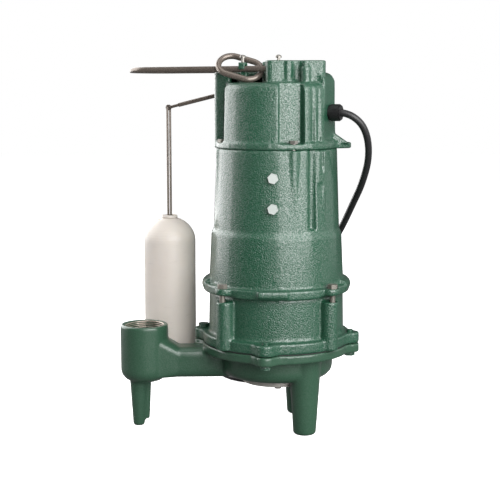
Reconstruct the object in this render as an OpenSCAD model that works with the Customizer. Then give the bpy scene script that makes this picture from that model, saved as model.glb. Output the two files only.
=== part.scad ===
// Submersible sump pump. Millimetres, +Z up, origin on the floor in the middle of the pump's box.
// The discharge port stands out along -X. Positions are counted from the motor shaft, which
// stands at (shaft_x, shaft_y), and azimuths from +X towards +Y.

/* [Place] */
// Distance from the middle of the pump's box to the motor shaft
shaft_x = 43; // [41:0.5:45]
// The same distance across the discharge's direction
shaft_y = -3.8; // [-5:0.1:-3]

/* [Casing heights] */
// Underside of the volute floor
volute_floor_z = 61.5; // [59:0.5:63]
// Underside of the port
port_floor_z = 54; // [50:0.5:56]
// Underside of the volute's bolting flange
flange_z = 89.6; // [86:0.1:94]
// Thickness of the volute's bolting flange
flange_t = 10.4; // [8:0.1:13]
// Thickness of the lower housing's bolting flange
base_plate_t = 12.2; // [9:0.1:15]
// Joint between the lower housing and the motor housing
housing_joint_z = 161; // [156:1:166]
// Joint between the motor housing and the top cap
cap_joint_z = 324; // [318:1:330]
// Flat top of the cap
cap_top_z = 397.5; // [394:0.5:400]
// Top of the switch compartment
switch_deck_z = 409.5; // [406:0.5:409.5]
// Top of the block that holds the float guard
block_top_z = 422; // [418:1:426]

/* [Casing radii] */
// Outer radius of the volute
volute_r = 66; // [63:1:70]
// Outer radius of the bolting flanges between their lobes
flange_r = 85; // [82:1:86]
// Radius of the flange bolts' circle
flange_bolt_r = 86; // [84:1:88]
// Rounding of each flange lobe
lobe_r = 11; // [9:1:13]
// Outer radius of the lower housing
lower_r = 77.5; // [76:0.5:79]
// Outer radius of the motor housing's bottom flange
ring_flange_r = 84.5; // [82:0.5:87]
// Outer radius of the motor housing at the cap joint
seam_r = 69; // [67:0.5:71]
// Outer radius of the cap wall at its shoulder
cap_r = 65.5; // [64:0.5:67]

/* [Discharge] */
// Distance from the shaft to the port's axis
port_x = 153.5; // [145:0.5:165]
// Outer radius of the port
port_r = 27.7; // [26.5:0.1:30]
// Rim of the port
port_top_z = 120.5; // [112:0.5:128]
// Wall radius of the port's threaded bore
port_bore_r = 22.2; // [21.5:0.1:23]
// Depth of the threaded bore
port_bore_h = 24; // [18:1:26]
// Width of the neck between the volute and the port
neck_w = 37; // [34:1:42]

/* [Feet] */
// Foot radius of the two round legs
leg_foot_r = 12.9; // [11:0.1:15]
// Radius of the round legs at the flange
leg_top_r = 19.1; // [17:0.1:21]
// Distance of the round legs from the discharge axis
leg_y = 44.4; // [40:0.1:48]

/* [Float] */
// Radius of the float
float_r = 31; // [26:0.5:31.5]
// Bottom of the float
float_low_z = 72; // [70:1:90]
// Top of the float's dome
float_top_z = 239; // [225:1:245]
// Distance of the float rod from the shaft
rod_r = 139; // [137:0.5:141]
// Distance of the arm's pivot from the shaft
pivot_r = 58; // [56:0.5:60]
// Height of the arm's pivot
pivot_z = 387.7; // [385:0.1:390]
// Slope of the resting arm below level
arm_slope = 12.8; // [10:0.2:14]

/* [Guard and lifting ring] */
// Diameter of the guard's rod
guard_d = 6.35; // [6:0.05:7]
// Height of the guard's centre line
guard_z = 413; // [413:0.5:415]
// Half the distance between the guard's legs
guard_half = 32; // [30:0.5:33]
// Distance from the shaft to the centre of the guard's round end
guard_end = 152; // [146:1:160]
// Diameter of the lifting ring's wire
ring_d = 6.8; // [6:0.1:6.9]
// Length of the ring's centre line
ring_len = 50; // [46:1:50]
// Width of the ring's centre line
ring_w = 30; // [29:0.5:31]

/* [Motor] */
// Outer radius of the stator core
stator_r = 62.4; // [60:0.1:62.4]
// Bore radius of the stator core
stator_bore_r = 33; // [30:0.5:36]
// Air gap between rotor and stator
air_gap = 0.5; // [0.4:0.05:0.8]
// Bottom of the stator core
stator_z = 195; // [192:1:200]
// Height of the stator core
stator_h = 66; // [60:1:70]

/* [Power cord] */
// Diameter of the power cord
cord_d = 8; // [7:0.1:8.5]
// Mean radius of the coiled cord
coil_r = 45; // [42:1:48]
// Height of the coiled cord
coil_h = 30; // [26:1:32]

/* [Hidden] */
$fn = 96;
small_fn = 32;

green = [0.2, 0.38, 0.29];
steel = [0.62, 0.6, 0.58];
dark = [0.1, 0.1, 0.1];
off_white = [0.85, 0.83, 0.78];
copper = [0.7, 0.4, 0.25];

// Directions, in degrees of azimuth
flange_az = -11.6;
housing_bolt_az = -47.6;
cap_bolt_az = -77.5;
switch_az = 153.6;
gland_az = -26;
plug_az = -97;

// Heights worked out from the joints
gasket_t = 0.8;
plate_t = 8.5;
flange_top_z = flange_z + flange_t;
plate_z = flange_top_z + gasket_t;
plate_top_z = plate_z + base_plate_t;
ring_flange_top_z = housing_joint_z + 10.3;
step_z = 228;
cap_ledge_z = cap_joint_z + 7;

flange_bolt_shank_r = 3.5;
housing_bolt_shank_r = 3.2;
housing_bolt_r = 86.5;
cap_bolt_shank_r = 2.9;
cap_bolt_r = 64.5;
gland_face_r = 64;
gland_z = 364.5;
gland_r = 9.5;
gland_len = 13.5;
arm_len = (rod_r - pivot_r) / cos(arm_slope);
tip_z = pivot_z - arm_len * sin(arm_slope);
rod_gap = 3.4;
rod_wire_r = 1.35;
coil_x = -2;
coil_y = 240;
coil_half_w = 16;

// Lifting ring: place and lean of its plane, in the guard leg's own directions
ring_pitch = 16;
ring_roll = 42;
ring_yaw = 7.8;
ring_s = 8.4;
ring_gap = 7.4;

// Puts a piece that is drawn around the shaft into the pump's own frame
module on_shaft() {
  translate([shaft_x, shaft_y, 0])
    children();
}

// Copies around the shaft
module around(first_az, count) {
  for (i = [0 : count - 1])
    rotate(first_az + i * 360 / count)
      children();
}

// Ring with a rectangular section
module ring(r_in, r_out, z, h) {
  translate([0, 0, z])
    difference() {
      cylinder(r = r_out, h = h);
      translate([0, 0, -1])
        cylinder(r = r_in, h = h + 2);
    }
}

// Points of a rounded corner, from angle a0 to angle a1 about (x, y)
function arc(x, y, r, a0, a1, n = 8) =
  [for (i = [0 : n]) let (a = a0 + (a1 - a0) * i / n) [x + r * cos(a), y + r * sin(a)]];

// Outline of a disc with narrow round lobes, in short flats
function lobed_disc(disc_r, lobe_d, tip_r, first_az, count) =
  [for (i = [0 : count - 1]) let (a = first_az + i * 360 / count)
    each concat(arc(lobe_d * cos(a), lobe_d * sin(a), tip_r, a - 70, a + 70, 10),
      arc(0, 0, disc_r, a + 11.5, a + 360 / count - 11.5, 16))];

// Bolting flange: a disc with four lobes
module flange_outline() {
  polygon(lobed_disc(flange_r, flange_bolt_r, lobe_r, flange_az, 4));
}

// Rectangle with round corners, centred
module rounded_rect(w, h, r) {
  square([w - 2 * r, h], center = true);
  square([w, h - 2 * r], center = true);
  for (x = [-1, 1], y = [-1, 1])
    translate([x * (w / 2 - r), y * (h / 2 - r)])
      circle(r = r, $fn = small_fn);
}

// Rectangle whose round corners are short flats, centred
module soft_rect(w, h, r) {
  polygon(concat(arc(w / 2 - r, h / 2 - r, r, 0, 90, 5), arc(r - w / 2, h / 2 - r, r, 90, 180, 5),
    arc(r - w / 2, r - h / 2, r, 180, 270, 5), arc(w / 2 - r, r - h / 2, r, 270, 360, 5)));
}

// ---- Wet end ----

// Solid of the volute, before its passages are cut
module volute_outside() {
  rotate_extrude()
    polygon(concat([[0, volute_floor_z]],
      arc(volute_r - 12, volute_floor_z + 12, 12, -90, 0, 6),
      [[volute_r, flange_z + 1], [0, flange_z + 1]]));
  translate([0, 0, flange_z])
    linear_extrude(flange_t)
      flange_outline();
}

// Neck from the volute to the port, and the flare that widens it to the port
module neck_outside() {
  neck_h = 35.5;
  neck_mid_z = 76.8;
  flare_x = 114;
  translate([-flare_x - 8, 0, neck_mid_z])
    rotate([90, 0, 90])
      linear_extrude(flare_x - 32)
        soft_rect(neck_w, neck_h, 9);
  hull() {
    translate([-flare_x + 0.5, 0, neck_mid_z])
      rotate([90, 0, 90])
        linear_extrude(0.5)
          soft_rect(neck_w - 0.4, neck_h - 0.4, 9);
    translate([-port_x + 4, 0, port_floor_z + 6])
      cylinder(r = port_r - 4.5, h = 44, $fn = 32);
  }
}

// Standing port with a round bottom and a softened rim
module port_outside() {
  translate([-port_x, 0, 0])
    rotate_extrude()
      polygon(concat([[0, port_floor_z]],
        arc(port_r - 14, port_floor_z + 14, 14, -90, 0, 6),
        arc(port_r - 1.5, port_top_z - 1.5, 1.5, 0, 90, 3),
        [[0, port_top_z]]));
}

// Leg under the port: a tapered stem with a web behind a groove
module port_leg() {
  stem_x = -port_x - 7.5;
  translate([stem_x, 0, 0])
    rotate_extrude()
      polygon([[0, 0], [5.6, 0], [6.8, 1.2], [10.6, 62], [0, 62]]);
  translate([stem_x + 4, 3.5, 6.5])
    linear_extrude(56, scale = [1.32, 1.3], slices = 1)
      translate([4.6, 0])
        rounded_rect(7.6, 8.5, 1.8);
}

// Round tapered leg with a softened foot
module round_leg() {
  slope = (leg_top_r - leg_foot_r) / flange_z;
  rotate_extrude()
    polygon([[0, 0], [leg_foot_r - 2, 0], [leg_foot_r - 0.6, 0.6], [leg_foot_r + slope * 2, 2],
      [leg_top_r, flange_z + 2], [0, flange_z + 2]]);
}

module volute_casing() {
  chamber_r = 58;
  color(green) on_shaft()
    difference() {
      union() {
        volute_outside();
        neck_outside();
        port_outside();
        port_leg();
        for (side = [-1, 1])
          translate([30, side * leg_y, 0])
            round_leg();
      }
      // Pump chamber, open at the top
      translate([0, 0, volute_floor_z + 6])
        cylinder(r = chamber_r, h = 60);
      // Opening for the inlet plate's spigot
      translate([0, 0, volute_floor_z - 5])
        cylinder(r = 29.1, h = 20);
      // Passage through the neck
      translate([-port_x, 0, 78])
        rotate([0, 90, 0])
          cylinder(r = 13, h = port_x - 50);
      // Rising passage and threaded bore of the port
      translate([-port_x, 0, 66])
        cylinder(r = 19, h = 40);
      translate([-port_x, 0, port_top_z - port_bore_h])
        cylinder(r = port_bore_r, h = port_bore_h + 5);
      // Flange bolt holes
      around(flange_az, 4)
        translate([flange_bolt_r, 0, flange_z - 0.4])
          cylinder(r = flange_bolt_shank_r + 0.3, h = flange_t + 2, $fn = small_fn);
      // Tapped holes for the inlet plate
      around(30, 3)
        translate([34.3, 0, volute_floor_z - 1])
          cylinder(r = 2, h = 12, $fn = small_fn);
    }
}

module inlet_plate() {
  color([0.6, 0.6, 0.58]) on_shaft()
    difference() {
      union() {
        translate([0, 0, volute_floor_z - plate_t])
          cylinder(r = 39.5, h = plate_t);
        translate([0, 0, volute_floor_z])
          cylinder(r = 28.8, h = 3.5);
      }
      translate([0, 0, volute_floor_z - plate_t - 1])
        cylinder(r = 25, h = plate_t + 7);
      around(30, 3)
        translate([34.3, 0, volute_floor_z - plate_t - 1])
          cylinder(r = 2.2, h = plate_t + 3, $fn = small_fn);
      // Clearance around the round legs
      for (side = [-1, 1])
        translate([30, side * leg_y, volute_floor_z - plate_t - 1])
          cylinder(r = leg_top_r - 1, h = plate_t + 7);
    }
}

module inlet_plate_screws() {
  color(steel) on_shaft()
    around(30, 3)
      translate([34.3, 0, 0]) {
        translate([0, 0, volute_floor_z - plate_t - 2.2])
          cylinder(r = 3.8, h = 2.2, $fn = small_fn);
        translate([0, 0, volute_floor_z - plate_t - 1])
          cylinder(r = 1.95, h = plate_t + 9, $fn = small_fn);
      }
}

module volute_gasket() {
  color(dark) on_shaft()
    translate([0, 0, flange_top_z])
      difference() {
        linear_extrude(gasket_t)
          difference() {
            circle(r = flange_r - 0.6);
            circle(r = 59);
          }
        translate([0, 0, -1])
          around(flange_az, 4)
            translate([flange_bolt_r, 0])
              cylinder(r = flange_bolt_shank_r + 1.4, h = 4, $fn = small_fn);
      }
}

module flange_bolts() {
  color(steel) on_shaft()
    for (i = [0 : 3])
      rotate(flange_az + i * 90)
        translate([flange_bolt_r, 0, 0]) {
          // The bolt over the neck enters from above, and the others from below
          translate([0, 0, i == 2 ? plate_top_z : flange_z - 4.6])
            cylinder(r = 6.3, h = 4.6, $fn = 6);
          translate([0, 0, flange_z])
            cylinder(r = flange_bolt_shank_r, h = plate_top_z - flange_z + 2.4, $fn = small_fn);
        }
}

// ---- Lower housing: bearing and seal carrier ----

module lower_housing() {
  column_top_z = housing_joint_z - 4.5;
  color(green) on_shaft()
    difference() {
      union() {
        translate([0, 0, plate_z])
          linear_extrude(base_plate_t)
            flange_outline();
        // Wall
        rotate_extrude()
          polygon([[50, plate_z], [lower_r + 4, plate_z], [lower_r + 0.8, plate_top_z + 4],
            [lower_r, housing_joint_z], [50, housing_joint_z]]);
        // Columns under the housing bolts
        around(housing_bolt_az, 4)
          translate([housing_bolt_r - 4, 0, plate_z + 0.4])
            cylinder(r = 9.8, h = column_top_z - plate_z - 0.4);
      }
      // Room inside, around the bearing hub
      difference() {
        union() {
          translate([0, 0, plate_top_z - 1])
            cylinder(r = 67.5, h = 80);
          translate([0, 0, 151.5])
            cylinder(r = 70, h = 20);
        }
        translate([0, 0, plate_top_z - 2])
          cylinder(r = 26, h = 41.2);
      }
      // Bearing seat, seal chamber and seal seat
      translate([0, 0, 139.8])
        cylinder(r = 20, h = 40);
      translate([0, 0, 112])
        cylinder(r = 16, h = 40);
      translate([0, 0, plate_z - 1])
        cylinder(r = 14.5, h = 20);
      // Flange bolt holes
      around(flange_az, 4)
        translate([flange_bolt_r, 0, plate_z - 1])
          cylinder(r = flange_bolt_shank_r + 0.3, h = base_plate_t + 2, $fn = small_fn);
      // Tapped holes for the housing bolts
      around(housing_bolt_az, 4)
        translate([housing_bolt_r, 0, housing_joint_z - 26])
          cylinder(r = housing_bolt_shank_r + 0.1, h = 40, $fn = small_fn);
    }
}

module housing_o_ring() {
  color(dark) on_shaft()
    translate([0, 0, 156.2])
      rotate_extrude()
        translate([68.85, 0])
          circle(r = 1.05, $fn = 24);
}

// ---- Motor housing ----

module motor_housing() {
  web_z = 303;
  color(green) on_shaft()
    difference() {
      union() {
        // Wall, widening downwards, with a step
        rotate_extrude()
          polygon([[55, housing_joint_z], [77.8, housing_joint_z], [77.6, 176],
            [75, step_z - 1], [74.2, step_z + 1.6], [72.3, step_z + 5],
            [seam_r, cap_joint_z], [55, cap_joint_z]]);
        // Spigot in the lower housing
        ring(64, 69.7, 152, 12);
        // Bottom flange
        translate([0, 0, housing_joint_z])
          cylinder(r = ring_flange_r, h = ring_flange_top_z - housing_joint_z);
        // Round bead of the flange, away from the front
        rotate(-26)
          translate([0, 0, 168.6])
            rotate_extrude(angle = 218)
              translate([79, 0])
                circle(r = 7.2);
        // Pad at the front of the flange, and the lugs of the housing bolts
        translate([-26, -87, housing_joint_z + 3])
          cube([33, 12, 7.3]);
        around(housing_bolt_az, 4)
          translate([housing_bolt_r - 2.5, 0, housing_joint_z + 2.7])
            cylinder(r = 10.4, h = 7.6);
        // Columns under the cap bolts
        around(cap_bolt_az, 4)
          translate([cap_bolt_r, 0, step_z + 9])
            cylinder(r = 7, h = cap_joint_z - step_z - 9.3);
        // Two ribs beside the front column
        rotate(-52)
          translate([60, -2.6, 288])
            cube([seam_r - 60 + 2.4, 5.2, cap_joint_z - 288.4]);
        rotate(-46.5)
          translate([60, -1, step_z + 5])
            cube([seam_r - 60 + 3.2, 2, cap_joint_z - step_z - 5.4]);
      }
      // Stator chamber and bearing seat
      translate([0, 0, 150])
        cylinder(r = stator_r + 0.1, h = web_z - 150);
      translate([0, 0, web_z - 1])
        cylinder(r = 12.5, h = 30);
      translate([0, 0, web_z - 1])
        cylinder(r = 17.5, h = 16);
      translate([0, 0, cap_joint_z - 4])
        cylinder(r = 57, h = 10);
      // Recess of the cap's gasket
      translate([0, 0, cap_joint_z - 0.8])
        cylinder(r = 60.2, h = 5);
      // Groove of the O-ring
      ring(67.7, 71, 155, 2.4);
      // Way for the winding leads
      translate([0, 38, web_z - 2])
        cylinder(r = 6, h = 30, $fn = small_fn);
      // Bolt clearance under the lugs
      around(housing_bolt_az, 4) {
        translate([housing_bolt_r, 0, housing_joint_z - 5])
          cylinder(r = housing_bolt_shank_r + 0.4, h = 17.8, $fn = small_fn);
        translate([housing_bolt_r, 0, ring_flange_top_z])
          cylinder(r = 7.6, h = 5.4);
        translate([housing_bolt_r - 5, -16, housing_joint_z - 1])
          cube([30, 32, 3.6]);
      }
      // Groove beside the front column
      rotate(-60)
        translate([seam_r + 2, 0, step_z + 8])
          cylinder(r = 5, h = 120);
      // Tapped holes for the cap bolts and the plugs
      around(cap_bolt_az, 4)
        translate([cap_bolt_r, 0, cap_joint_z - 22])
          cylinder(r = cap_bolt_shank_r + 0.1, h = 30, $fn = small_fn);
      for (z = [293.9, 260.7])
        rotate(plug_az)
          translate([60, 0, z])
            rotate([0, 90, 0])
              cylinder(r = 4, h = 20, $fn = small_fn);
    }
}

module housing_bolts() {
  color([0.55, 0.42, 0.36]) on_shaft()
    around(housing_bolt_az, 4)
      translate([housing_bolt_r, 0, 0]) {
        translate([0, 0, ring_flange_top_z])
          cylinder(r = 5.8, h = 4.6, $fn = 6);
        translate([0, 0, housing_joint_z - 24])
          cylinder(r = housing_bolt_shank_r, h = ring_flange_top_z - housing_joint_z + 25, $fn = small_fn);
      }
}

module hex_plugs() {
  color("white") on_shaft()
    for (z = [293.9, 260.7])
      rotate(plug_az)
        translate([0, 0, z]) {
          translate([seam_r + (z > 280 ? 1.4 : 2.6), 0, 0])
            rotate([0, 90, 0])
              rotate(15)
                cylinder(r = 6, h = 4.2, $fn = 6);
          translate([63, 0, 0])
            rotate([0, 90, 0])
              cylinder(r = 3.98, h = 10, $fn = small_fn);
        }
}

module cap_gasket() {
  color(dark) on_shaft()
    ring(57, 60, cap_joint_z - 0.8, 0.8);
}

// ---- Top cap ----

// Outline of the cap's ledge: a disc with a pointed tongue beside the cord
module tongue_outline() {
  polygon(lobed_disc(seam_r + 0.5, 79, 6, -6, 1));
}

// Block on the cap that the guard's legs enter
module cap_block() {
  difference() {
    intersection() {
      translate([18.5, 3, cap_top_z - 4])
        linear_extrude(block_top_z - cap_top_z + 4)
          rounded_rect(67, 86, 7);
      cylinder(r = 62.5, h = block_top_z);
    }
    // Room for the lifting ring beside the block
    translate([-30, -24, cap_top_z])
      cube([22, 45, 40]);
    // Shallow flutes of the front face
    translate([4.5, -43, cap_top_z + 2])
      cylinder(r = 4.6, h = 40);
    translate([20, -44.5, cap_top_z + 2])
      cylinder(r = 8.5, h = 40);
    // Sockets of the guard's legs
    rotate(switch_az)
      for (side = [-1, 1])
        translate([-8, side * guard_half, guard_z])
          rotate([0, 90, 0])
            cylinder(r = guard_d / 2 + 0.12, h = 80, $fn = small_fn);
  }
  // Boss of the front bolt
  translate([29, -44, cap_top_z - 4])
    cylinder(r = 5.6, h = 415 - cap_top_z + 4);
}

// Cord entry: a flat-faced, round-topped wall
module cord_entry() {
  half_w = 17.2;
  rotate(gland_az)
    rotate([90, 0, 0])
      translate([0, 0, -half_w])
        linear_extrude(2 * half_w)
          polygon(concat([[10, cap_ledge_z - 3], [gland_face_r, cap_ledge_z - 3]],
            arc(gland_face_r - 13, 396.5, 13, 0, 90, 8),
            [[10, 409.5]]));
}

// Switch compartment: a wide box towards the float
module switch_box() {
  half_w = 29.8;
  rotate(switch_az)
    difference() {
      translate([34, 0, cap_joint_z])
        linear_extrude(switch_deck_z - cap_joint_z)
          rounded_rect(66, 2 * half_w, 7);
      // Pocket for the ring and the clamp post beside the near guard leg
      translate([-20, 17, cap_top_z])
        cube([66, 20, 30]);
    }
}

// Post that clamps the near guard leg
module clamp_post() {
  rotate(switch_az) {
    translate([24, 26.5, cap_top_z - 3])
      cube([8, 4.5, 420 - cap_top_z + 3]);
    translate([24, 26.5, 411.6])
      cube([8, 10, 420 - 411.6]);
  }
}

module cap_outside() {
  difference() {
    rotate_extrude()
      polygon(concat([[0, cap_joint_z], [seam_r, cap_joint_z], [seam_r, cap_ledge_z],
        [seam_r - 2, cap_ledge_z + 2]],
        arc(cap_r - 9, cap_top_z - 9, 9, 0, 90, 6),
        [[0, cap_top_z]]));
    // Flutes over the cap bolts
    around(cap_bolt_az - 1.8, 4)
      translate([0, 0, cap_ledge_z])
        rotate(-12.8)
          rotate_extrude(angle = 25.6)
            translate([57, 0])
              square([20, 80]);
    // Two narrow grooves beside the cord entry
    for (az = [-57, -49.3])
      rotate(az)
        translate([cap_r + 1.6, 0, cap_ledge_z + 1])
          cylinder(r = 2.9, h = 80);
    // Flat face of the cord entry
    rotate(gland_az)
      translate([gland_face_r, -30, cap_ledge_z + 3])
        cube([20, 60, 80]);
  }
  translate([0, 0, cap_joint_z])
    linear_extrude(cap_ledge_z - cap_joint_z)
      tongue_outline();
  cap_block();
  cord_entry();
  switch_box();
  clamp_post();
  // Gusset over the tongue
  rotate(-6)
    rotate([90, 0, 0])
      translate([0, 0, -11])
        linear_extrude(22)
          polygon([[50, cap_ledge_z - 1], [82, cap_ledge_z - 1], [66, cap_ledge_z + 10],
            [50, cap_ledge_z + 10]]);
}

module top_cap() {
  color(green) on_shaft()
    difference() {
      cap_outside();
      // Wiring room
      translate([0, 0, cap_joint_z - 1])
        cylinder(r = 52, h = cap_top_z - cap_joint_z - 5);
      // Switch room
      rotate(switch_az)
        translate([36, 0, cap_joint_z + 12])
          linear_extrude(switch_deck_z - cap_joint_z - 18)
            rounded_rect(50, 44, 4);
      // Slot that the arm leaves through
      rotate(switch_az)
        translate([55, -4, 380])
          cube([30, 8, 17]);
      // Recess behind the arm's ball
      rotate(switch_az)
        translate([55, 0, pivot_z])
          rotate([0, 90, 0])
            cylinder(r = 6.4, h = 9.6);
      // Bolt holes
      around(cap_bolt_az, 4)
        translate([cap_bolt_r, 0, cap_joint_z - 1])
          cylinder(r = cap_bolt_shank_r + 0.3, h = 20, $fn = small_fn);
      translate([29, -44, 400])
        cylinder(r = 2, h = 30, $fn = small_fn);
      // Tapped hole of the cord gland
      rotate(gland_az)
        translate([40, 0, gland_z])
          rotate([0, 90, 0])
            cylinder(r = 7.5, h = 40, $fn = 48);
      // Tapped holes of the guard screws
      translate([0, -26, 404])
        cylinder(r = 1.9, h = 30, $fn = small_fn);
      rotate(switch_az) {
        translate([28, guard_half, 404])
          cylinder(r = 1.9, h = 30, $fn = small_fn);
        // Seat of the guard's near leg in the post
        translate([-8, guard_half, guard_z])
          rotate([0, 90, 0])
            cylinder(r = guard_d / 2 + 0.12, h = 60, $fn = small_fn);
      }
    }
}

module cap_bolts() {
  color(steel) on_shaft()
    around(cap_bolt_az, 4)
      translate([cap_bolt_r, 0, 0]) {
        translate([0, 0, cap_ledge_z])
          cylinder(r = 5, h = 3.6, $fn = 6);
        translate([0, 0, cap_joint_z - 20])
          cylinder(r = cap_bolt_shank_r, h = 29, $fn = small_fn);
      }
}

module block_bolt() {
  color([0.5, 0.62, 0.55]) on_shaft()
    translate([29, -44, 0]) {
      translate([0, 0, 415])
        cylinder(r = 3.6, h = 3.4, $fn = 6);
      translate([0, 0, 402])
        cylinder(r = 1.95, h = 14, $fn = small_fn);
    }
}

// ---- Cord entry ----

module cord_gland() {
  color(dark) on_shaft()
    rotate(gland_az)
      translate([0, 0, gland_z])
        rotate([0, 90, 0])
          difference() {
            union() {
              translate([0, 0, gland_face_r + 0.1])
                cylinder(r = gland_r - 1.2, h = gland_len - 0.1);
              translate([0, 0, gland_face_r + 2.4])
                cylinder(r = gland_r, h = gland_len - 4.2);
              translate([0, 0, 48])
                cylinder(r = 7.4, h = 20, $fn = 48);
            }
            translate([0, 0, 40])
              cylinder(r = cord_d / 2 + 0.05, h = 60, $fn = 48);
            translate([0, 0, gland_face_r + 5])
              cylinder(r = 6, h = 6, $fn = 48);
          }
}

module gland_seal() {
  color([0.2, 0.2, 0.2]) on_shaft()
    rotate(gland_az)
      translate([gland_face_r + 5, 0, gland_z])
        rotate([0, 90, 0])
          ring(cord_d / 2 + 0.05, 5.95, 0.05, 5.9);
}

// Route of the lead's centre line, from inside the gland to the coil
gland_tip = gland_face_r + gland_len;
cord_route = [
  [(gland_tip - 14) * cos(gland_az), (gland_tip - 14) * sin(gland_az), gland_z],
  [gland_tip * cos(gland_az), gland_tip * sin(gland_az), gland_z],
  [82.5, -37, 360],
  [94, -35, 349],
  [101, -28, 331],
  [103, -14, 308],
  [99, 6, 281],
  [92, 28, 256],
  [83, 50, 228],
  [70, 72, 196],
  [58, 92, 155],
  [50, 108, 110],
  [46, 120, 65],
  [43, 131, 28],
  [41, 147, 9],
  [42, 166, 4.8],
  [47, 190, 4],
  [53, 216, 4]];

// Route of the short stretch from the coil to the plug
tail_route = [
  [54, 246, 24],
  [59, 262, 22],
  [61, 281, 17],
  [51, 305, 12.5],
  [30, 315, 11],
  [20.5, 315, 11]];

// Smooth curve through the route, by Catmull-Rom interpolation
function route_at(p, i, t) =
  let (a = p[max(i - 1, 0)], b = p[i], c = p[i + 1], d = p[min(i + 2, len(p) - 1)])
    0.5 * (2 * b + (c - a) * t + (2 * a - 5 * b + 4 * c - d) * t * t
    + (3 * b - a - 3 * c + d) * t * t * t);
function smooth_route(p, steps) =
  concat([for (i = [0 : len(p) - 2], j = [0 : steps - 1]) route_at(p, i, j / steps)],
    [p[len(p) - 1]]);
function unit(v) = v / norm(v);
function tangent_at(p, i) = unit(p[min(i + 1, len(p) - 1)] - p[max(i - 1, 0)]);

// Frame that is carried along the path without twisting
function carried(p, i) =
  i == 0 ? unit(cross(tangent_at(p, 0), [0, 1, 0]))
  : let (t = tangent_at(p, i), s = carried(p, i - 1)) unit(s - t * (s * t));

// Round tube along a list of points
module tube_along(p, r, sides) {
  rows = len(p);
  side_dirs = [for (i = 0, s = carried(p, 0); i < rows;
    i = i + 1, s = i < rows ? let (t = tangent_at(p, i)) unit(s - t * (s * t)) : s) s];
  points = [for (i = [0 : rows - 1]) let (t = tangent_at(p, i), u = side_dirs[i], w = cross(t, u))
    for (k = [0 : sides - 1]) let (a = k * 360 / sides) p[i] + r * (cos(a) * u + sin(a) * w)];
  walls = [for (i = [0 : rows - 2], k = [0 : sides - 1]) let (n = (k + 1) % sides)
    [i * sides + k, i * sides + n, (i + 1) * sides + n, (i + 1) * sides + k]];
  polyhedron(points, concat(walls,
    [[for (k = [sides - 1 : -1 : 0]) k], [for (k = [0 : sides - 1]) (rows - 1) * sides + k]]));
}

module power_cord() {
  color([0.12, 0.12, 0.12]) on_shaft()
    tube_along(smooth_route(cord_route, 3), cord_d / 2, 10);
}

module cord_tail() {
  color([0.12, 0.12, 0.12]) on_shaft()
    tube_along(smooth_route(tail_route, 3), cord_d / 2, 10);
}

module cord_coil() {
  color([0.12, 0.12, 0.12]) on_shaft()
    translate([coil_x, coil_y, 0])
      rotate_extrude()
        translate([coil_r, coil_h / 2])
          rounded_rect(2 * coil_half_w, coil_h, 6);
}

// Strap around the coil's bundle, on its far side
module cord_tie() {
  color([0.75, 0.75, 0.72]) on_shaft()
    translate([coil_x, coil_y, 0])
      rotate(60)
        translate([coil_r, 0, coil_h / 2])
          rotate([90, 0, 0])
            translate([0, 0, -3])
              linear_extrude(6)
                difference() {
                  rounded_rect(2 * coil_half_w + 1.6, coil_h - 0.02, 6.6);
                  rounded_rect(2 * coil_half_w - 0.4, coil_h - 1.4, 5.4);
                }
}

// Grounded plug at the end of the lead
plug_x = 20;
plug_y = 315;
plug_z = 11;

module plug_body() {
  color(dark) on_shaft()
    translate([plug_x, plug_y, plug_z])
      rotate([0, -90, 0]) {
        difference() {
          union() {
            translate([0, 0, 24])
              linear_extrude(14)
                rounded_rect(22, 26, 8);
            cylinder(r1 = 5.5, r2 = 9.5, h = 26, $fn = 48);
          }
          for (side = [-1, 1])
            translate([-0.8 + 3, side * 6.35 - 3.2, 30])
              cube([1.6, 6.4, 20]);
          translate([-5.5, 0, 30])
            cylinder(r = 2.4, h = 20, $fn = small_fn);
        }
      }
}

module plug_blades() {
  color([0.75, 0.68, 0.45]) on_shaft()
    translate([plug_x, plug_y, plug_z])
      rotate([0, -90, 0])
        for (side = [-1, 1])
          translate([-0.75 + 3, side * 6.35 - 3.15, 30.1])
            cube([1.5, 6.3, 25.5]);
}

module plug_ground_pin() {
  color([0.75, 0.68, 0.45]) on_shaft()
    translate([plug_x, plug_y, plug_z])
      rotate([0, -90, 0])
        translate([-5.5, 0, 30.1])
          cylinder(r = 2.38, h = 28, $fn = small_fn);
}

// ---- Float guard and lifting ring ----

module float_guard() {
  color(steel) on_shaft()
    rotate(switch_az)
      translate([0, 0, guard_z]) {
        for (side = [-1, 1])
          translate([-6, side * guard_half, 0])
            rotate([0, 90, 0])
              cylinder(r = guard_d / 2, h = guard_end + 6, $fn = 48);
        translate([guard_end, 0, 0])
          rotate(-90)
            rotate_extrude(angle = 180)
              translate([guard_half, 0])
                circle(r = guard_d / 2, $fn = 48);
      }
}

// Pan-head screw standing proud, with its tip at the origin
module proud_screw(shank) {
  cylinder(r = 1.88, h = shank, $fn = small_fn);
  translate([0, 0, shank - 0.5])
    rotate_extrude()
      polygon([[0, 0], [3.7, 0], [3.7, 1.2], [2.6, 2.8], [0, 3.5]]);
}

module guard_screws() {
  color(steel) on_shaft() {
    translate([0, -26, guard_z + guard_d / 2])
      proud_screw(9.4);
    rotate(switch_az)
      translate([28, guard_half, guard_z + guard_d / 2])
        proud_screw(9.4);
  }
}

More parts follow.
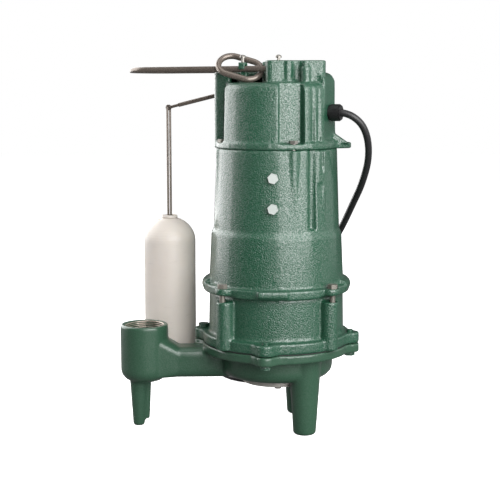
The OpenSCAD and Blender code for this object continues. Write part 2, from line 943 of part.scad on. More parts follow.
module lift_ring() {
  bend_r = ring_w / 2;
  straight = ring_len - ring_w;
  // Basis of the ring's plane: x along the ring, y across it
  drop = [-sin(ring_roll), -cos(ring_roll)];
  color(steel) on_shaft()
    rotate(switch_az)
      translate([ring_s, guard_half + ring_gap * drop[0], guard_z + ring_gap * drop[1]])
        rotate([0, -ring_pitch, ring_yaw])
          rotate([-ring_roll, 0, 0]) {
            for (side = [-1, 1])
              translate([bend_r, side * bend_r, 0])
                rotate([0, 90, 0])
                  cylinder(r = ring_d / 2, h = straight, $fn = 48);
            for (end = [0, 1])
              translate([bend_r + end * straight, 0, 0])
                rotate(end * 180 + 90)
                  rotate_extrude(angle = 180)
                    translate([bend_r, 0])
                      circle(r = ring_d / 2, $fn = 48);
          }
}

// ---- Motor ----

module stator_core() {
  slots = 24;
  color([0.5, 0.5, 0.5]) on_shaft()
    translate([0, 0, stator_z])
      linear_extrude(stator_h)
        difference() {
          circle(r = stator_r);
          circle(r = stator_bore_r);
          around(0, slots)
            translate([stator_bore_r + 2.5, -2])
              square([14, 4]);
          around(7.5, 4)
            translate([stator_r, 0])
              circle(r = 3, $fn = small_fn);
        }
}

module stator_windings() {
  color(copper) on_shaft()
    for (z = [stator_z - 17.5, stator_z + stator_h + 0.5])
      translate([0, 0, z])
        rotate_extrude()
          translate([45, 8.5])
            rounded_rect(18, 17, 5);
}

module thermal_protector() {
  color([0.15, 0.15, 0.16]) on_shaft()
    translate([40, -8, stator_z + stator_h + 18])
      cube([10, 16, 7]);
}

module run_capacitor() {
  color([0.3, 0.32, 0.35]) on_shaft()
    translate([6, 8, cap_joint_z + 4])
      cylinder(r = 17, h = 52);
}

module bearing_outer(z, r_in, r_out, width, pitch_r, ball_r) {
  translate([0, 0, z])
    rotate_extrude()
      difference() {
        translate([r_in, 0])
          square([r_out - r_in, width]);
        translate([pitch_r, width / 2])
          circle(r = ball_r + 0.06, $fn = small_fn);
      }
}

module bearing_balls(z, width, pitch_r, ball_r) {
  around(0, 8)
    translate([pitch_r, 0, z + width / 2])
      sphere(r = ball_r, $fn = small_fn);
}

upper_z = 307;
upper_w = 11;
upper_pitch = 12.5;
upper_ball = 2.98;
lower_z = 140;
lower_w = 12;
lower_pitch = 14.25;
lower_ball = 3.37;

module upper_bearing_outer() {
  color(steel) on_shaft()
    bearing_outer(upper_z, 14.6, 17.48, upper_w, upper_pitch, upper_ball);
}

module upper_bearing_balls() {
  color("silver") on_shaft()
    bearing_balls(upper_z, upper_w, upper_pitch, upper_ball);
}

module upper_bearing_inner() {
  color(steel) on_shaft()
    bearing_outer(upper_z, 7.5, 10.4, upper_w, upper_pitch, upper_ball);
}

module lower_bearing_outer() {
  color(steel) on_shaft()
    bearing_outer(lower_z, 16.5, 19.98, lower_w, lower_pitch, lower_ball);
}

module lower_bearing_balls() {
  color("silver") on_shaft()
    bearing_balls(lower_z, lower_w, lower_pitch, lower_ball);
}

module lower_bearing_inner() {
  color(steel) on_shaft()
    bearing_outer(lower_z, 8.5, 12, lower_w, lower_pitch, lower_ball);
}

module retaining_ring() {
  color(steel) on_shaft()
    ring(8.05, 11, lower_z + lower_w + 0.2, 1.1);
}

module wave_washer() {
  color(steel) on_shaft()
    ring(12.8, 17.2, upper_z - 2.2, 1.8);
}

module shaft() {
  color(steel) on_shaft()
    rotate_extrude()
      polygon([[0, 65.4], [5.5, 65.4], [6, 65.9], [6, 98], [7.9, 98], [7.9, 130], [8.5, 130],
        [8.5, 152.2], [8, 152.2], [8, 153.3], [8.5, 153.3], [9, 156], [12, 165], [12, 290],
        [10, 303], [9, 306.9], [7.5, 306.9], [7.5, 319.5], [7, 320], [0, 320]]);
}

module rotor_core() {
  color([0.45, 0.45, 0.47]) on_shaft()
    ring(12, stator_bore_r - air_gap, stator_z, stator_h);
}

module rotor_end_rings() {
  color([0.75, 0.76, 0.78]) on_shaft()
    for (z = [stator_z - 8, stator_z + stator_h])
      ring(20, stator_bore_r - air_gap - 0.6, z, 8);
}

// ---- Impeller and shaft seal ----

module impeller() {
  vanes = 6;
  color([0.55, 0.5, 0.42]) on_shaft()
    difference() {
      union() {
        translate([0, 0, 92])
          cylinder(r = 48, h = 4.2);
        translate([0, 0, 74])
          cylinder(r = 13, h = 22);
        around(0, vanes)
          translate([30, 0, 76])
            intersection() {
              translate([0, 12, 0])
                difference() {
                  cylinder(r = 24, h = 17);
                  translate([0, 0, -1])
                    cylinder(r = 20.5, h = 19);
                }
              translate([-24, -14, 0])
                cube([40, 18, 17]);
            }
      }
      translate([0, 0, 60])
        cylinder(r = 6, h = 60);
    }
}

module impeller_nut() {
  color(steel) on_shaft()
    translate([0, 0, 66])
      difference() {
        cylinder(r = 10.5, h = 7.9, $fn = 6);
        translate([0, 0, -1])
          cylinder(r = 6, h = 12);
      }
}

module seal_seat() {
  color([0.85, 0.84, 0.8]) on_shaft()
    ring(8.6, 14.48, plate_z + 1, 8.2);
}

module seal_ring() {
  color([0.2, 0.2, 0.22]) on_shaft()
    ring(7.9, 13, plate_z + 9.3, 5);
}

module seal_spring() {
  turns = 4;
  steps = 14;
  low = plate_z + 15.4;
  rise = 10;
  color(steel) on_shaft()
    tube_along([for (i = [0 : turns * steps]) let (a = i * 360 / steps)
      [11.6 * cos(a), 11.6 * sin(a), low + rise * i / (turns * steps)]], 0.9, 8);
}

module seal_bellows() {
  color(dark) on_shaft() {
    ring(7.9, 9.8, plate_z + 14.3, 13);
    ring(7.9, 13, plate_z + 26.6, 1.6);
  }
}

// ---- Float switch linkage ----

module arm_seat() {
  color([0.7, 0.6, 0.35]) on_shaft()
    rotate(switch_az)
      translate([pivot_r, 0, pivot_z])
        difference() {
          translate([-3, -9, -9])
            cube([6, 18, 18]);
          sphere(r = 6.3);
          rotate([90, 0, 0])
            translate([0, 0, -12])
              cylinder(r = 1.56, h = 24, $fn = small_fn);
        }
}

module arm_ball() {
  color(dark) on_shaft()
    rotate(switch_az)
      translate([pivot_r, 0, pivot_z])
        difference() {
          sphere(r = 6);
          rotate([90, 0, 0])
            translate([0, 0, -12])
              cylinder(r = 1.55, h = 24, $fn = small_fn);
          rotate([0, 90 + arm_slope, 0])
            translate([0, 0, -20])
              cylinder(r = 2.4, h = 40, $fn = small_fn);
        }
}

module arm_pivot_pin() {
  color(steel) on_shaft()
    rotate(switch_az)
      translate([pivot_r, 0, pivot_z])
        rotate([90, 0, 0])
          translate([0, 0, -8.6])
            cylinder(r = 1.5, h = 17.2, $fn = small_fn);
}

module float_arm() {
  inner_len = 9.5;
  color(steel) on_shaft()
    rotate(switch_az)
      translate([pivot_r, 0, pivot_z])
        rotate([0, arm_slope, 0])
          difference() {
            union() {
              translate([-inner_len, 0, 0])
                rotate([0, 90, 0])
                  cylinder(r = 2.38, h = inner_len + arm_len - 14, $fn = small_fn);
              translate([arm_len - 15, 0, 0])
                rotate([0, 90, 0])
                  cylinder(r = 1.7, h = 13, $fn = small_fn);
              translate([arm_len, 1.2, 0])
                rotate([90, 0, 0])
                  cylinder(r = 3.4, h = 2.4, $fn = small_fn);
            }
            translate([arm_len, 5, 0])
              rotate([90, 0, 0])
                cylinder(r = rod_wire_r + 0.3, h = 10, $fn = small_fn);
            rotate([90, 0, 0])
              translate([0, 0, -12])
                cylinder(r = 1.5, h = 24, $fn = small_fn);
          }
}

plunger_r = pivot_r - 8.5;

module float_switch() {
  color([0.16, 0.16, 0.17]) on_shaft()
    rotate(switch_az)
      difference() {
        translate([plunger_r - 16, -11, 346])
          cube([21.3, 22, 34]);
        translate([plunger_r, 0, 360])
          cylinder(r = 2.25, h = 40, $fn = small_fn);
      }
}

module switch_plunger() {
  color([0.8, 0.15, 0.12]) on_shaft()
    rotate(switch_az)
      translate([plunger_r, 0, 368])
        cylinder(r = 2.2, h = 18, $fn = small_fn);
}

// ---- Float and its rod ----

rod_low_z = 62;

module float_rod() {
  color(steel) on_shaft()
    rotate(switch_az)
      translate([rod_r, 0, 0]) {
        for (side = [-1, 1])
          translate([0, side * rod_gap, rod_low_z])
            cylinder(r = rod_wire_r, h = tip_z - rod_low_z, $fn = small_fn);
        for (side = [-1, 1])
          translate([0, side * rod_gap, tip_z])
            sphere(r = rod_wire_r, $fn = small_fn);
        translate([0, rod_gap, tip_z])
          rotate([90, 0, 0])
            cylinder(r = rod_wire_r, h = 2 * rod_gap, $fn = small_fn);
      }
}

module rod_stop() {
  color(steel) on_shaft()
    rotate(switch_az)
      translate([rod_r, 0, rod_low_z + 2])
        difference() {
          cylinder(r = 9, h = float_low_z - rod_low_z - 2.4);
          for (side = [-1, 1])
            translate([0, side * rod_gap, -1])
              cylinder(r = rod_wire_r, h = 20, $fn = small_fn);
        }
}

module float_shell() {
  wall = 2.2;
  sleeve_r = 7;
  dome = float_top_z - 29;
  color(off_white) on_shaft()
    rotate(switch_az)
      translate([rod_r, 0, 0])
        rotate_extrude()
          difference() {
            polygon(concat([[sleeve_r - 1, float_low_z]],
              arc(float_r - 7, float_low_z + 7, 7, -90, 0, 6),
              [for (i = [0 : 12]) let (a = i * 74 / 12)
                [float_r * cos(a), dome + 29 * sin(a)]],
              [[9.6, dome + 29 * sin(74) + 0.6], [9.2, float_top_z + 2], [sleeve_r - 1, float_top_z + 2]]));
            polygon(concat([[sleeve_r + 1.4, float_low_z + wall]],
              arc(float_r - 7, float_low_z + 7, 7 - wall, -90, 0, 6),
              [for (i = [0 : 12]) let (a = i * 72 / 12)
                [(float_r - wall) * cos(a), dome + (29 - wall) * sin(a)]],
              [[sleeve_r + 1.4, dome + 26]]));
          }
}

module float_bushing() {
  color([0.8, 0.78, 0.72]) on_shaft()
    rotate(switch_az)
      translate([rod_r, 0, 0])
        ring(5.1, 6, float_low_z, float_top_z + 2 - float_low_z);
}

volute_casing();
inlet_plate();
inlet_plate_screws();
volute_gasket();
flange_bolts();
lower_housing();
housing_o_ring();
motor_housing();
housing_bolts();
hex_plugs();
cap_gasket();
top_cap();
cap_bolts();
block_bolt();
cord_gland();
gland_seal();
power_cord();
cord_coil();
cord_tail();
cord_tie();
plug_body();
plug_blades();
plug_ground_pin();
float_guard();
guard_screws();
lift_ring();
stator_core();
stator_windings();
thermal_protector();
run_capacitor();
upper_bearing_outer();
upper_bearing_balls();
upper_bearing_inner();
lower_bearing_outer();
lower_bearing_balls();
lower_bearing_inner();
retaining_ring();
wave_washer();
shaft();
rotor_core();
rotor_end_rings();
impeller();
impeller_nut();
seal_seat();
seal_ring();
seal_spring();
seal_bellows();
arm_seat();
arm_ball();
arm_pivot_pin();
float_arm();
float_switch();
switch_plunger();
float_rod();
rod_stop();
float_shell();
float_bushing();
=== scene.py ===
"""Looks of a submersible sump pump: painted castings, steel fittings, float, lead and studio.

Lengths are in metres, and places are counted from the foot of the motor shaft.
"""

import math

import bpy
import bmesh
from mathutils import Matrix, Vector


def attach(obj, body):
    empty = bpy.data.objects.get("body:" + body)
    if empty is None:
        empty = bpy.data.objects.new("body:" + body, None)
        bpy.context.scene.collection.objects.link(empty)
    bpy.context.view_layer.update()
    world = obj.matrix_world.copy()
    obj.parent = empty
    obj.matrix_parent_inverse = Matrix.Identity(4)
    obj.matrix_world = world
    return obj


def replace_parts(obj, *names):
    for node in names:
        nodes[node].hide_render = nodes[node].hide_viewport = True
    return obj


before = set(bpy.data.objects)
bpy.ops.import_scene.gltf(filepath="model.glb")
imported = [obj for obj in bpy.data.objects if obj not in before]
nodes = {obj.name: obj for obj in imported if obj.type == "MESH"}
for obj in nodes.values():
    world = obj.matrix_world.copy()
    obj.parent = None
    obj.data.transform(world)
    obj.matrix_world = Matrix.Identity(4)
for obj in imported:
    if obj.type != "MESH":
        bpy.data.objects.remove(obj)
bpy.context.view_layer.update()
MM = 0.001
# Foot of the motor shaft; places below are counted from it
SHAFT = Vector((0.043, -0.0038, 0.0))

# ---------------------------------------------------------------- camera

VIEW_AZIMUTH = math.radians(-2.6)
VIEW_ELEVATION = math.radians(7.8)
VIEW_DISTANCE = 1.3041
LENS_MM = 81
SENSOR_MM = 36
VIEW_TARGET = SHAFT + Vector((-0.0304, 0.0014, 0.2060))


def make_camera():
    """Camera a little above the pump, with a long lens."""
    data = bpy.data.cameras.new("camera")
    data.lens = LENS_MM
    data.sensor_width = SENSOR_MM
    back = Vector((
        math.sin(VIEW_AZIMUTH) * math.cos(VIEW_ELEVATION),
        -math.cos(VIEW_AZIMUTH) * math.cos(VIEW_ELEVATION),
        math.sin(VIEW_ELEVATION),
    ))
    camera = bpy.data.objects.new("camera", data)
    camera.location = VIEW_TARGET + VIEW_DISTANCE * back
    camera.rotation_euler = back.to_track_quat("Z", "Y").to_euler()
    bpy.context.scene.collection.objects.link(camera)
    bpy.context.scene.camera = camera


# ---------------------------------------------------------------- node helpers


class Nodes:
    """Short way to build one material's node tree."""

    def __init__(self, name):
        self.material = bpy.data.materials.new(name)
        self.material.use_nodes = True
        self.tree = self.material.node_tree
        self.shader = self.tree.nodes["Principled BSDF"]
        self.coords = self.tree.nodes.new("ShaderNodeTexCoord").outputs["Object"]

    def add(self, kind, inputs=None, **settings):
        node = self.tree.nodes.new(kind)
        for key, value in settings.items():
            setattr(node, key, value)
        for key, value in (inputs or {}).items():
            self.put(node.inputs[key], value)
        return node

    def put(self, socket, value):
        if isinstance(value, bpy.types.NodeSocket):
            self.tree.links.new(value, socket)
        elif isinstance(value, bpy.types.Node):
            self.tree.links.new(value.outputs[0], socket)
        else:
            socket.default_value = value

    def set(self, **inputs):
        for key, value in inputs.items():
            self.put(self.shader.inputs[key.replace("_", " ")], value)

    def noise(self, scale, detail=2.0, roughness=0.5, vector=None):
        node = self.add("ShaderNodeTexNoise", {
            "Vector": vector or self.coords, "Scale": scale, "Detail": detail,
            "Roughness": roughness})
        return node.outputs["Fac"]

    def stretched(self, x, y, z):
        return self.add("ShaderNodeVectorMath", {0: self.coords, 1: (x, y, z)},
                        operation="MULTIPLY").outputs[0]

    def spread(self, value, low, high, to_low=0.0, to_high=1.0):
        return self.add("ShaderNodeMapRange", {
            "Value": value, "From Min": low, "From Max": high,
            "To Min": to_low, "To Max": to_high}).outputs[0]

    def mix(self, factor, first, second):
        node = self.add("ShaderNodeMix", data_type="RGBA")
        self.put(node.inputs["Factor"], factor)
        self.put(node.inputs[6], first)
        self.put(node.inputs[7], second)
        return node.outputs[2]

    def math(self, operation, first, second):
        return self.add("ShaderNodeMath", {0: first, 1: second}, operation=operation).outputs[0]

    def bump(self, height, distance, strength=1.0, under=None):
        inputs = {"Height": height, "Distance": distance, "Strength": strength}
        if under is not None:
            inputs["Normal"] = under
        return self.add("ShaderNodeBump", inputs).outputs[0]


def colour(red, green, blue):
    """Linear colour from 0 to 255 screen values."""
    def linear(value):
        value /= 255
        return value / 12.92 if value <= 0.04045 else ((value + 0.055) / 1.055) ** 2.4
    return (linear(red), linear(green), linear(blue), 1.0)


# ---------------------------------------------------------------- materials


def green_paint(name, first, second, depth, dull, glossy):
    """Green paint over a sand casting: the grain is `depth` deep, and its dimples shine `dull`
    to `glossy`."""
    m = Nodes(name)
    grain = m.noise(690, 1.5)
    fine = m.noise(1300, 1.0)
    swell = m.noise(70, 2.0)
    tone = m.noise(14, 3.0)
    height = m.math("ADD", grain, m.math("MULTIPLY", fine, 0.3))
    gloss = m.spread(grain, 0.36, 0.64, dull, glossy)
    normal = m.bump(swell, 0.0007, 0.5)
    normal = m.bump(height, depth, 0.9, under=normal)
    m.set(Base_Color=m.mix(m.spread(tone, 0.3, 0.7), first, second),
          Roughness=m.spread(tone, 0.3, 0.7, 0.27, 0.34), Normal=normal,
          Coat_Weight=gloss, Coat_Roughness=0.18)
    m.put(m.shader.inputs["Specular IOR Level"], gloss)
    return m.material


def metal(name, base, roughness, metallic=1.0):
    """Plain steel, brass or zinc with a fine grain and darker patches."""
    m = Nodes(name)
    fine = m.noise(900, 3.0, 0.6)
    broad = m.noise(35, 3.0)
    dark = tuple(c * 0.72 for c in base[:3]) + (1.0,)
    tint = m.mix(m.spread(broad, 0.35, 0.7), base, dark)
    m.set(Base_Color=tint, Metallic=metallic,
          Roughness=m.spread(fine, 0.3, 0.7, roughness - 0.06, roughness + 0.06),
          Normal=m.bump(fine, 0.00002, 0.5))
    return m.material


def plastic(name, base, other, roughness, grain=700, depth=0.00005):
    """Moulded plastic, rubber or ceramic with a soft mottle."""
    m = Nodes(name)
    mottle = m.noise(22, 4.0)
    fine = m.noise(grain, 2.0)
    m.set(Base_Color=m.mix(m.spread(mottle, 0.3, 0.7), base, other),
          Roughness=m.spread(fine, 0.3, 0.7, roughness - 0.05, roughness + 0.07),
          Normal=m.bump(fine, depth, 0.6))
    return m.material


def cast_metal(name, base, other, roughness):
    """Bare casting with a grainy skin."""
    m = Nodes(name)
    grain = m.noise(600, 3.0)
    broad = m.noise(40, 3.0)
    m.set(Base_Color=m.mix(m.spread(broad, 0.3, 0.7), base, other), Metallic=0.6,
          Roughness=m.spread(grain, 0.3, 0.7, roughness - 0.08, roughness + 0.1),
          Normal=m.bump(grain, 0.0003, 0.7))
    return m.material


def winding_copper():
    """Enamelled wire wound round the core."""
    m = Nodes("winding_copper")
    strands = m.add("ShaderNodeTexWave", {"Vector": m.coords, "Scale": 320.0, "Distortion": 2.0},
                    bands_direction="Z").outputs["Fac"]
    m.set(Base_Color=m.mix(strands, colour(120, 62, 30), colour(200, 120, 70)), Metallic=0.7,
          Roughness=0.35, Normal=m.bump(strands, 0.0006, 0.8))
    return m.material


def laminated_steel():
    """Edges of stacked steel sheets."""
    m = Nodes("laminated_steel")
    sheets = m.add("ShaderNodeTexWave", {"Vector": m.coords, "Scale": 300.0},
                   bands_direction="Z").outputs["Fac"]
    m.set(Base_Color=m.mix(sheets, colour(96, 96, 98), colour(150, 150, 150)), Metallic=0.9,
          Roughness=0.42, Normal=m.bump(sheets, 0.0002, 0.7))
    return m.material


def float_plastic():
    """Waxy off-white polyethylene with faint moulding marks."""
    m = Nodes("float_plastic")
    mottle = m.noise(18, 4.0)
    fine = m.noise(500, 2.0)
    scuffs = m.noise(60, 4.0, vector=m.stretched(1, 1, 5))
    base = m.mix(m.spread(mottle, 0.3, 0.7), colour(207, 199, 191), colour(216, 208, 200))
    base = m.mix(m.spread(scuffs, 0.6, 0.75, 0.0, 0.22), base, colour(180, 172, 162))
    m.set(Base_Color=base, Roughness=m.spread(fine, 0.3, 0.7, 0.36, 0.5),
          Subsurface_Weight=0.12, Subsurface_Radius=(0.004, 0.003, 0.002),
          Normal=m.bump(fine, 0.00006, 0.5))
    return m.material


def machined_thread():
    """Bare cut metal of the discharge thread."""
    m = Nodes("machined_thread")
    rings = m.noise(300, 2.0, vector=m.stretched(0.1, 0.1, 6))
    stain = m.noise(50, 3.0)
    m.set(Base_Color=m.mix(m.spread(stain, 0.4, 0.7), colour(206, 194, 184), colour(160, 142, 132)),
          Metallic=0.85, Roughness=0.34, Normal=m.bump(rings, 0.0002, 0.6))
    return m.material


# ---------------------------------------------------------------- mesh helpers


def add_painted_piece(name, mesh, material):
    """Puts a smooth-shaded mesh with the given material on the pump's body."""
    piece = bpy.data.objects.new(name, mesh)
    bpy.context.scene.collection.objects.link(piece)
    mesh.materials.clear()
    mesh.materials.append(material)
    mesh.polygons.foreach_set("use_smooth", [True] * len(mesh.polygons))
    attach(piece, "pump_body")
    return piece


def evaluated_mesh(piece):
    """Mesh of a piece with its modifiers applied."""
    graph = bpy.context.evaluated_depsgraph_get()
    return bpy.data.meshes.new_from_object(piece.evaluated_get(graph), depsgraph=graph)


def casting(node, voxel, rounds, material):
    """Copy of a CAD node with the soft edges and fillets of a sand casting."""
    source = bpy.data.objects.new(node + "_source", nodes[node].data.copy())
    bpy.context.scene.collection.objects.link(source)
    remesh = source.modifiers.new("remesh", "REMESH")
    remesh.mode = "VOXEL"
    remesh.voxel_size = voxel
    soften = source.modifiers.new("soften", "SMOOTH")
    soften.factor = 0.5
    soften.iterations = rounds
    soft = evaluated_mesh(source)
    bpy.data.objects.remove(source)
    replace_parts(add_painted_piece(node + "_cast", soft, material), node)


# ---------------------------------------------------------------- power lead

CORD_D = 0.008
GLAND_AZ = math.radians(-26)
GLAND_TIP = 0.0775
GLAND_Z = 0.3645
GLAND_DEPTH = 0.014


def gland_point(radius):
    """Point on the gland's axis, at this distance from the shaft."""
    return (radius * math.cos(GLAND_AZ), radius * math.sin(GLAND_AZ), GLAND_Z)


# The lead's way from the gland to the coil and from the coil to the plug, counted from the shaft
ROUTE = [
    gland_point(GLAND_TIP - GLAND_DEPTH), gland_point(GLAND_TIP),
    (0.0825, -0.037, 0.360), (0.094, -0.035, 0.349), (0.101, -0.028, 0.331),
    (0.103, -0.014, 0.308), (0.099, 0.006, 0.281), (0.092, 0.028, 0.256),
    (0.083, 0.050, 0.228), (0.070, 0.072, 0.196), (0.058, 0.092, 0.155),
    (0.050, 0.108, 0.110), (0.046, 0.120, 0.065), (0.043, 0.131, 0.028),
    (0.041, 0.147, 0.009), (0.042, 0.166, 0.0048), (0.047, 0.190, 0.004), (0.053, 0.216, 0.004),
]
TAIL = [
    (0.054, 0.246, 0.024), (0.059, 0.262, 0.022), (0.061, 0.281, 0.017),
    (0.051, 0.305, 0.0125), (0.030, 0.315, 0.011), (0.0205, 0.315, 0.011),
]
COIL_CENTRE = Vector((-0.002, 0.240, 0.0))
COIL_R = 0.045
COIL_STEPS = 28
COIL_LAYERS = 4
LAYER_RISE = 0.007
# Share of a turn after which the lead moves over to the next turn's place
TURN_SHIFT = 0.7


def coil_slots():
    """Radius and height of each turn: layers of four and three turns in turn."""
    slots = []
    for layer in range(COIL_LAYERS):
        count = 4 - layer % 2
        radii = [COIL_R + (k - (count - 1) / 2) * CORD_D for k in range(count)]
        if layer % 2 == 0:
            radii.reverse()
        slots += [(r, CORD_D / 2 + layer * LAYER_RISE) for r in radii]
    return slots


def coil_points():
    """The lead's centre line through every turn of the coil."""
    slots = coil_slots()
    points = []
    for turn, (r, z) in enumerate(slots):
        r_next, z_next = slots[min(turn + 1, len(slots) - 1)]
        for k in range(COIL_STEPS):
            t = k / COIL_STEPS
            ease = max(0.0, (t - TURN_SHIFT) / (1 - TURN_SHIFT))
            ease = ease * ease * (3 - 2 * ease)
            a = 2 * math.pi * t
            radius = r + (r_next - r) * ease
            points.append(COIL_CENTRE + Vector((radius * math.cos(a), radius * math.sin(a),
                                                z + (z_next - z) * ease)))
    return points


def smooth_route(points, steps):
    """Catmull-Rom curve through the points."""
    p = [Vector(v) for v in points]
    out = []
    for i in range(len(p) - 1):
        a, b, c, d = p[max(i - 1, 0)], p[i], p[i + 1], p[min(i + 2, len(p) - 1)]
        for j in range(steps):
            t = j / steps
            out.append(0.5 * (2 * b + (c - a) * t + (2 * a - 5 * b + 4 * c - d) * t * t
                              + (3 * b - a - 3 * c + d) * t ** 3))
    return out + [p[-1]]


def make_cord(material):
    """The lead as one curve, from the gland through the coil to the plug."""
    points = [SHAFT + p for p in smooth_route(ROUTE, 4) + coil_points() + smooth_route(TAIL, 4)]
    data = bpy.data.curves.new("power_lead", "CURVE")
    data.dimensions = "3D"
    spline = data.splines.new("POLY")
    spline.points.add(len(points) - 1)
    for point, place in zip(spline.points, points):
        point.co = (*place, 1.0)
    data.bevel_depth = CORD_D / 2
    data.bevel_resolution = 4
    data.use_fill_caps = True
    data.materials.append(material)
    piece = bpy.data.objects.new("power_lead", data)
    bpy.context.scene.collection.objects.link(piece)
    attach(piece, "pump_body")
    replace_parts(piece, "power_cord", "cord_coil", "cord_tail")


# ---------------------------------------------------------------- extra detail


PORT_CENTRE = SHAFT + Vector((-153.5 * MM, 0, 0))
RIM_Z = 120.5 * MM
THREAD_TOP_Z = RIM_Z - 1.2 * MM
THREAD_WALL_R = 22.2 * MM
THREAD_SUNK = 0.3 * MM
THREAD_PITCH = 2.2 * MM
THREAD_DEPTH = 0.9 * MM
THREAD_TURNS = 10
THREAD_STEPS = 72


def make_thread(material):
    """Turns of the pipe thread inside the discharge: a ridge of three sides, closed at its ends."""
    half = THREAD_PITCH * 0.42
    root = THREAD_WALL_R + THREAD_SUNK
    profile = ((root, half), (THREAD_WALL_R - THREAD_DEPTH, 0.0), (root, -half))
    shape = bmesh.new()
    rows = []
    for i in range(THREAD_TURNS * THREAD_STEPS + 1):
        turn = i / THREAD_STEPS
        outward = Vector((math.cos(2 * math.pi * turn), math.sin(2 * math.pi * turn), 0))
        z = THREAD_TOP_Z - THREAD_PITCH * turn
        rows.append([shape.verts.new(PORT_CENTRE + r * outward + Vector((0, 0, z + dz)))
                     for r, dz in profile])
    for here, there in zip(rows, rows[1:]):
        for k in range(3):
            shape.faces.new((here[k], here[(k + 1) % 3], there[(k + 1) % 3], there[k]))
    shape.faces.new(rows[0])
    shape.faces.new(tuple(reversed(rows[-1])))
    bmesh.ops.recalc_face_normals(shape, faces=shape.faces)
    mesh = bpy.data.meshes.new("discharge_thread")
    shape.to_mesh(mesh)
    shape.free()
    add_painted_piece("discharge_thread", mesh, material)


def bevel_nodes(names, width):
    """Rounds the sharp edges of CAD nodes that stay in view."""
    for name in names:
        bevel = nodes[name].modifiers.new("soft_edges", "BEVEL")
        bevel.width = width
        bevel.segments = 2
        bevel.limit_method = "ANGLE"
        bevel.angle_limit = math.radians(35)
        nodes[name].modifiers.new("shading", "WEIGHTED_NORMAL")


def assign(material, *names):
    """Gives one material to CAD nodes."""
    for name in names:
        mesh = nodes[name].data
        mesh.materials.clear()
        mesh.materials.append(material)


# ---------------------------------------------------------------- studio


# Name, place from the shaft, width, height and watts of each soft light
LIGHTS = (
    ("left_box", (-1.04, 0.78, 0.7), 2.0, 1.4, 36),
    ("front_box", (0.62, -1.14, 0.76), 1.65, 1.4, 47),
    ("right_box", (1.28, 0.22, 0.7), 1.3, 1.4, 5.5),
    ("top_box", (0.0, -0.2, 1.7), 1.2, 1.0, 5.5),
)
LIGHT_TARGET = SHAFT + Vector((0, 0, 0.25))
FLOOR_HALF = 6
# Share of the white stage's light that falls on the pump
UNSEEN = 0.12


def area_light(name, place, width, height, power):
    """Soft box turned towards the middle of the pump."""
    data = bpy.data.lights.new(name, "AREA")
    data.shape = "RECTANGLE"
    data.size = width
    data.size_y = height
    data.energy = power
    light = bpy.data.objects.new(name, data)
    light.location = SHAFT + Vector(place)
    light.rotation_euler = (light.location - LIGHT_TARGET).to_track_quat("Z", "Y").to_euler()
    bpy.context.scene.collection.objects.link(light)


def make_world():
    """White background that gives off little light on the pump."""
    world = bpy.data.worlds.new("studio")
    bpy.context.scene.world = world
    world.use_nodes = True
    tree = world.node_tree
    background = tree.nodes["Background"]
    background.inputs["Color"].default_value = (1, 1, 1, 1)
    path = tree.nodes.new("ShaderNodeLightPath")
    dim = tree.nodes.new("ShaderNodeMapRange")
    dim.inputs["To Min"].default_value = UNSEEN
    dim.inputs["To Max"].default_value = 1.0
    tree.links.new(path.outputs["Is Camera Ray"], dim.inputs["Value"])
    tree.links.new(dim.outputs[0], background.inputs["Strength"])


def make_floor():
    """Pale paper floor, as white as the background where it is seen."""
    mesh = bpy.data.meshes.new("floor")
    shape = bmesh.new()
    bmesh.ops.create_grid(shape, x_segments=1, y_segments=1, size=FLOOR_HALF)
    shape.to_mesh(mesh)
    shape.free()
    floor = bpy.data.objects.new("floor", mesh)
    bpy.context.scene.collection.objects.link(floor)
    paper = Nodes("floor_paper")
    seen = paper.add("ShaderNodeLightPath").outputs["Is Camera Ray"]
    paper.set(Base_Color=paper.mix(seen, (UNSEEN, UNSEEN, UNSEEN, 1), (0.9, 0.9, 0.9, 1)),
              Roughness=0.9, Emission_Color=(1, 1, 1, 1),
              Emission_Strength=paper.math("MULTIPLY", seen, 0.9))
    mesh.materials.append(paper.material)


def make_studio():
    """White stage with a soft light on each side, one in front and one above."""
    bpy.context.scene.view_settings.view_transform = "Standard"
    make_world()
    make_floor()
    for light in LIGHTS:
        area_light(*light)


# ---------------------------------------------------------------- the pump


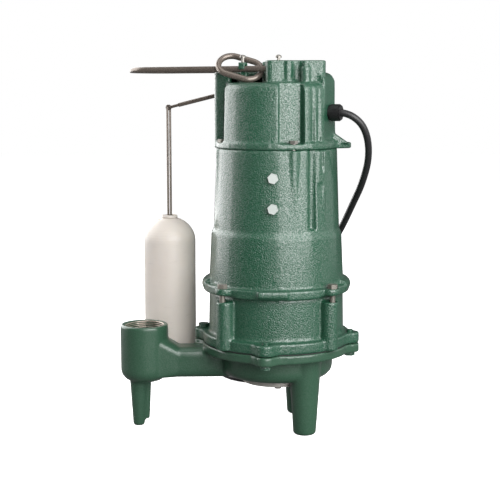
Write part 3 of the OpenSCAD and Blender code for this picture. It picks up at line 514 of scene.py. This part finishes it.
def make_pump():
    """Gives every CAD node its look, and makes the castings, the thread and the lead."""
    paint = green_paint("green_paint", colour(28, 71, 51), colour(32, 76, 56), 0.001, 0.3, 0.95)
    smooth_paint = green_paint("smooth_green_paint", colour(44, 74, 57), colour(48, 79, 61), 0.0002,
                               0.3, 0.5)
    bright = metal("bright_steel", colour(150, 146, 140), 0.32, metallic=0.7)
    warm = metal("warm_steel", colour(134, 130, 122), 0.4, metallic=0.6)
    stainless = metal("stainless", colour(122, 112, 104), 0.27, metallic=0.5)
    ground_steel = metal("ground_steel", colour(190, 190, 190), 0.25)
    brass = metal("brass", colour(214, 178, 110), 0.28)
    rubber = plastic("gasket_rubber", colour(30, 30, 30), colour(40, 40, 40), 0.6)
    black = plastic("gland_plastic", colour(13, 13, 14), colour(19, 19, 20), 0.42)
    jacket = plastic("cord_jacket", colour(24, 24, 25), colour(32, 32, 33), 0.42, 300, 0.0001)
    white = plastic("plug_white", colour(164, 171, 167), colour(178, 184, 180), 0.34)
    tie = plastic("tie_plastic", colour(200, 200, 196), colour(214, 214, 210), 0.5)
    dark = plastic("switch_case", colour(44, 44, 46), colour(54, 54, 56), 0.5)
    ceramic = plastic("ceramic", colour(232, 228, 218), colour(240, 236, 228), 0.3)
    red = plastic("switch_button", colour(190, 46, 34), colour(204, 58, 44), 0.35)
    capacitor = plastic("capacitor", colour(84, 88, 96), colour(96, 100, 108), 0.4)
    grey_cast = cast_metal("inlet_casting", colour(188, 184, 178), colour(170, 166, 160), 0.45)
    iron = cast_metal("impeller_iron", colour(130, 118, 104), colour(110, 100, 90), 0.5)
    pale = float_plastic()

    casting("volute_casing", 1.5 * MM, 4, smooth_paint)
    casting("lower_housing", 1.4 * MM, 4, paint)
    casting("motor_housing", 1.5 * MM, 3, paint)
    casting("top_cap", 1.25 * MM, 3, paint)
    make_thread(machined_thread())

    assign(paint, "block_bolt", "flange_bolts")
    assign(bright, "inlet_plate_screws", "cap_bolts", "guard_screws")
    assign(warm, "housing_bolts")
    assign(stainless, "float_guard", "lift_ring", "float_arm", "float_rod")
    assign(ground_steel, "shaft", "arm_pivot_pin", "rod_stop", "retaining_ring", "wave_washer",
           "seal_spring", "impeller_nut", "upper_bearing_outer", "upper_bearing_inner",
           "lower_bearing_outer", "lower_bearing_inner", "upper_bearing_balls",
           "lower_bearing_balls")
    assign(brass, "plug_blades", "plug_ground_pin", "arm_seat")
    assign(rubber, "volute_gasket", "housing_o_ring", "cap_gasket", "arm_ball", "seal_bellows",
           "gland_seal")
    assign(black, "cord_gland", "plug_body")
    assign(white, "hex_plugs")
    assign(tie, "cord_tie")
    assign(dark, "float_switch", "thermal_protector", "seal_ring")
    assign(ceramic, "seal_seat")
    assign(red, "switch_plunger")
    assign(capacitor, "run_capacitor")
    assign(grey_cast, "inlet_plate", "rotor_end_rings")
    assign(iron, "impeller")
    assign(winding_copper(), "stator_windings")
    assign(laminated_steel(), "stator_core", "rotor_core")
    assign(pale, "float_shell", "float_bushing")
    bevel_nodes(("hex_plugs", "cap_bolts", "housing_bolts", "flange_bolts", "cord_gland",
                 "plug_body", "block_bolt", "rod_stop"), 0.35 * MM)
    make_cord(jacket)


make_camera()
make_pump()
make_studio()
